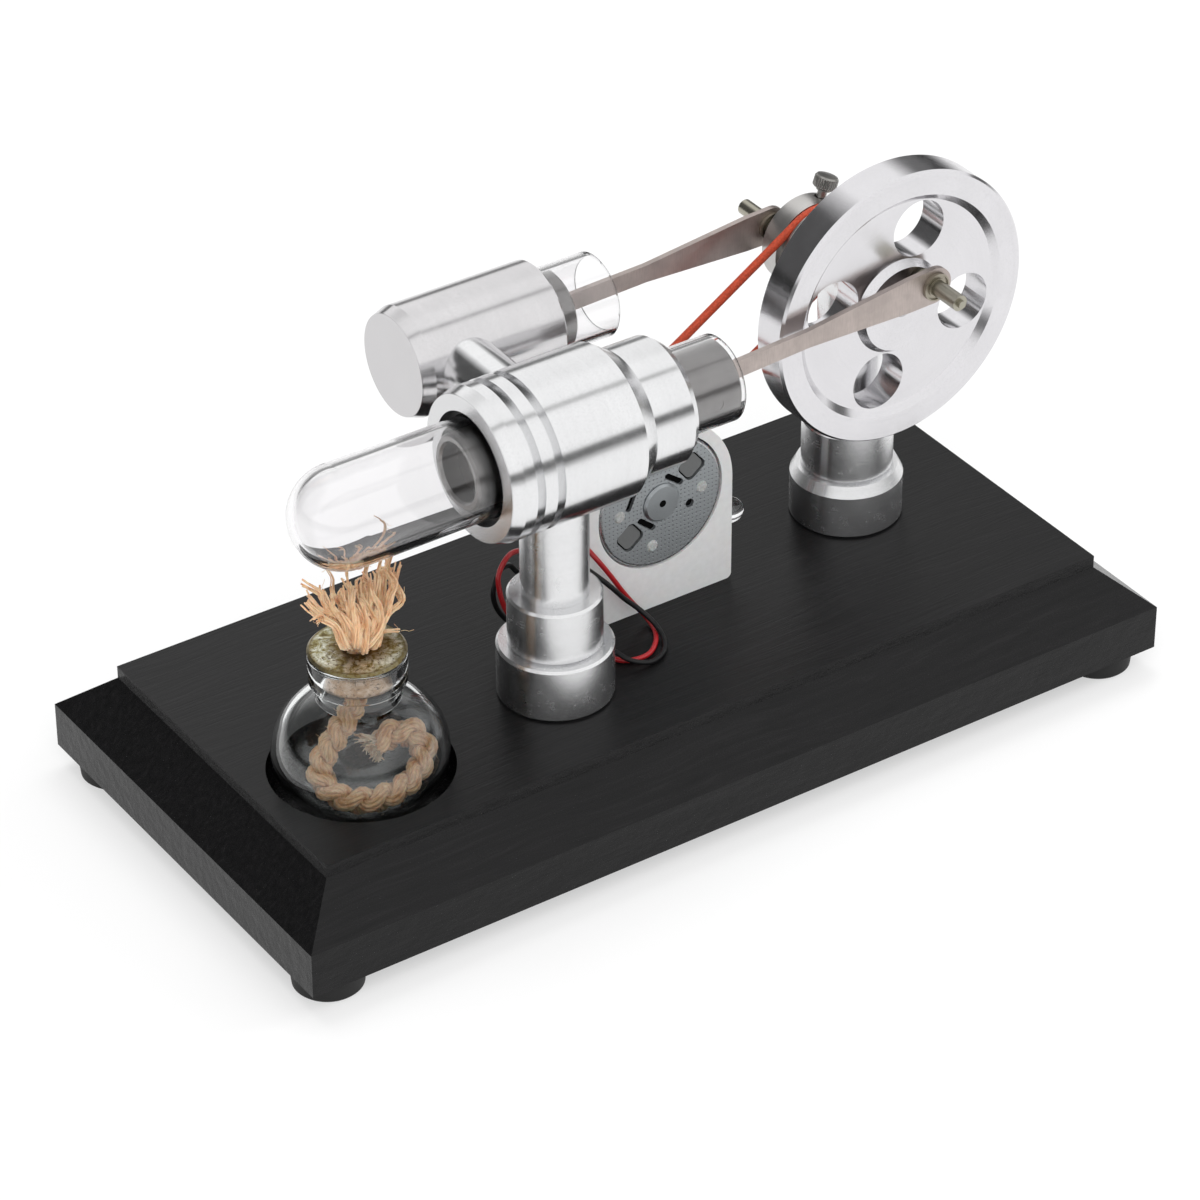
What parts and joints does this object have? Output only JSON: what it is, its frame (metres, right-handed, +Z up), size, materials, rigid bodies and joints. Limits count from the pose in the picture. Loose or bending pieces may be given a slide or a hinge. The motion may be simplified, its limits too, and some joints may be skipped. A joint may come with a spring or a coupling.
{
  "type": "stirling engine",
  "caption": "Two-cylinder hot air engine on a black base: spirit lamp, glass hot end, flywheel, crank rods and belt-driven lamp generator.",
  "frame": {"origin": "centre of the base's footprint, level with the soles of the four feet", "axes": "+X from the lamp to the flywheel, along the base; +Y from the hot cylinder's side to the cold cylinder's side; +Z up"},
  "size_m": [0.17, 0.082, 0.094],
  "materials": {
    "black_wood": "satin black paint over wood, faint grain",
    "foot_rubber": "matte moulded",
    "aluminium": "polished and turned, fine rings",
    "steel": "bright turned",
    "seal_rubber": "matte",
    "clear_glass": "clear polished",
    "white_plastic": "glossy",
    "motor_steel": "zinc plated, satin",
    "terminal_brass": "tinned brass, dull",
    "clear_resin": "clear epoxy",
    "red_insulation": "satin",
    "black_insulation": "satin",
    "belt_rubber": "satin",
    "piston_steel": "ground, slightly oily",
    "nickel_pins": "worn nickel over brass",
    "rod_steel": "brushed across, warm grey",
    "stopper_brass": "patinated",
    "wick_cotton": "braided, frayed end"
  },
  "bodies": {
    "frame": {"base_board": "black_wood", "foot_1": "foot_rubber", "foot_2": "foot_rubber", "foot_3": "foot_rubber", "foot_4": "foot_rubber", "hot_post_ring": "aluminium", "hot_post_collar": "aluminium", "hot_post_column": "aluminium", "hot_post_screw": "steel", "wheel_post_ring": "aluminium", "wheel_post_collar": "aluminium", "wheel_post_column": "aluminium", "wheel_post_screw": "steel", "bearing_front": "steel", "bearing_rear": "steel", "hot_gland": "aluminium", "gland_seal": "seal_rubber", "hot_body": "aluminium", "quartz_tube": "clear_glass", "hot_sleeve": "clear_glass", "cross_tube": "aluminium", "cold_body": "aluminium", "cold_sleeve": "clear_glass", "motor_bracket": "white_plastic", "motor_can": "motor_steel", "motor_plate": "motor_steel", "motor_hub": "motor_steel", "motor_rivet_1": "steel", "motor_rivet_2": "steel", "motor_rivet_3": "steel", "motor_terminal_1": "terminal_brass", "motor_terminal_2": "terminal_brass", "led": "clear_resin", "red_wire": "red_insulation", "black_wire": "black_insulation", "drive_belt": "belt_rubber"},
    "crank": {"flywheel": "aluminium", "wheel_spacer": "steel", "main_shaft": "steel", "crank_hub": "aluminium"},
    "thumb_screw": {"thumb_screw": "steel"},
    "hot_piston": {"hot_piston": "piston_steel", "hot_crown": "piston_steel", "hot_wrist_pin": "nickel_pins"},
    "hot_rod": {"hot_rod": "rod_steel", "hot_rod_bearing": "steel", "hot_crank_pin": "nickel_pins"},
    "cold_piston": {"cold_piston": "piston_steel", "cold_wrist_pin": "nickel_pins"},
    "cold_rod": {"cold_rod": "rod_steel", "cold_rod_bearing": "steel", "cold_crank_pin": "nickel_pins"},
    "motor_rotor": {"motor_shaft": "steel", "motor_pulley": "white_plastic"},
    "lamp": {"lamp_bottle": "clear_glass"},
    "lamp_stopper": {"lamp_stopper": "stopper_brass", "wick_rope": "wick_cotton", "wick_tuft": "wick_cotton"}
  },
  "joints": [
    {"name": "crank_spin", "type": "hinge", "parent": "frame", "child": "crank", "pos_m": [0.0509, 0, 0.069], "axis": [0, 1, 0], "continuous": true},
    {"name": "motor_spin", "type": "hinge", "parent": "frame", "child": "motor_rotor", "pos_m": [0.0076, 0.0131, 0.0423], "axis": [0, 1, 0], "continuous": true},
    {"name": "thumb_screw_turn", "type": "hinge", "parent": "crank", "child": "thumb_screw", "pos_m": [0.0509, 0.01611, 0.069], "axis": [0.342, 0, 0.9397], "range_deg": [0, 180]},
    {"name": "hot_piston_slide", "type": "slide", "parent": "frame", "child": "hot_piston", "axis": [1, 0, 0], "range_m": [-0.01055, 0.00166]},
    {"name": "hot_rod_swing", "type": "hinge", "parent": "hot_piston", "child": "hot_rod", "pos_m": [0.00687, -0.0133, 0.0705], "axis": [0, 1, 0], "range_deg": [-2.21, 12.25]},
    {"name": "cold_piston_slide", "type": "slide", "parent": "frame", "child": "cold_piston", "axis": [1, 0, 0], "range_m": [-0.00088, 0.01133]},
    {"name": "cold_rod_swing", "type": "hinge", "parent": "cold_piston", "child": "cold_rod", "pos_m": [-0.0028, 0.0197, 0.0705], "axis": [0, 1, 0], "range_deg": [-3.5, 10.96]},
    {"name": "lamp_lift", "type": "slide", "parent": "frame", "child": "lamp", "axis": [0, 0, 1], "range_m": [0, 0.0035]},
    {"name": "stopper_lift", "type": "slide", "parent": "lamp", "child": "lamp_stopper", "axis": [0, 0, 1], "range_m": [0, 0.0025]}
  ],
  "couplings": [
    {"joint": "motor_spin", "follows": "crank_spin", "ratio": 1.0699}
  ]
}
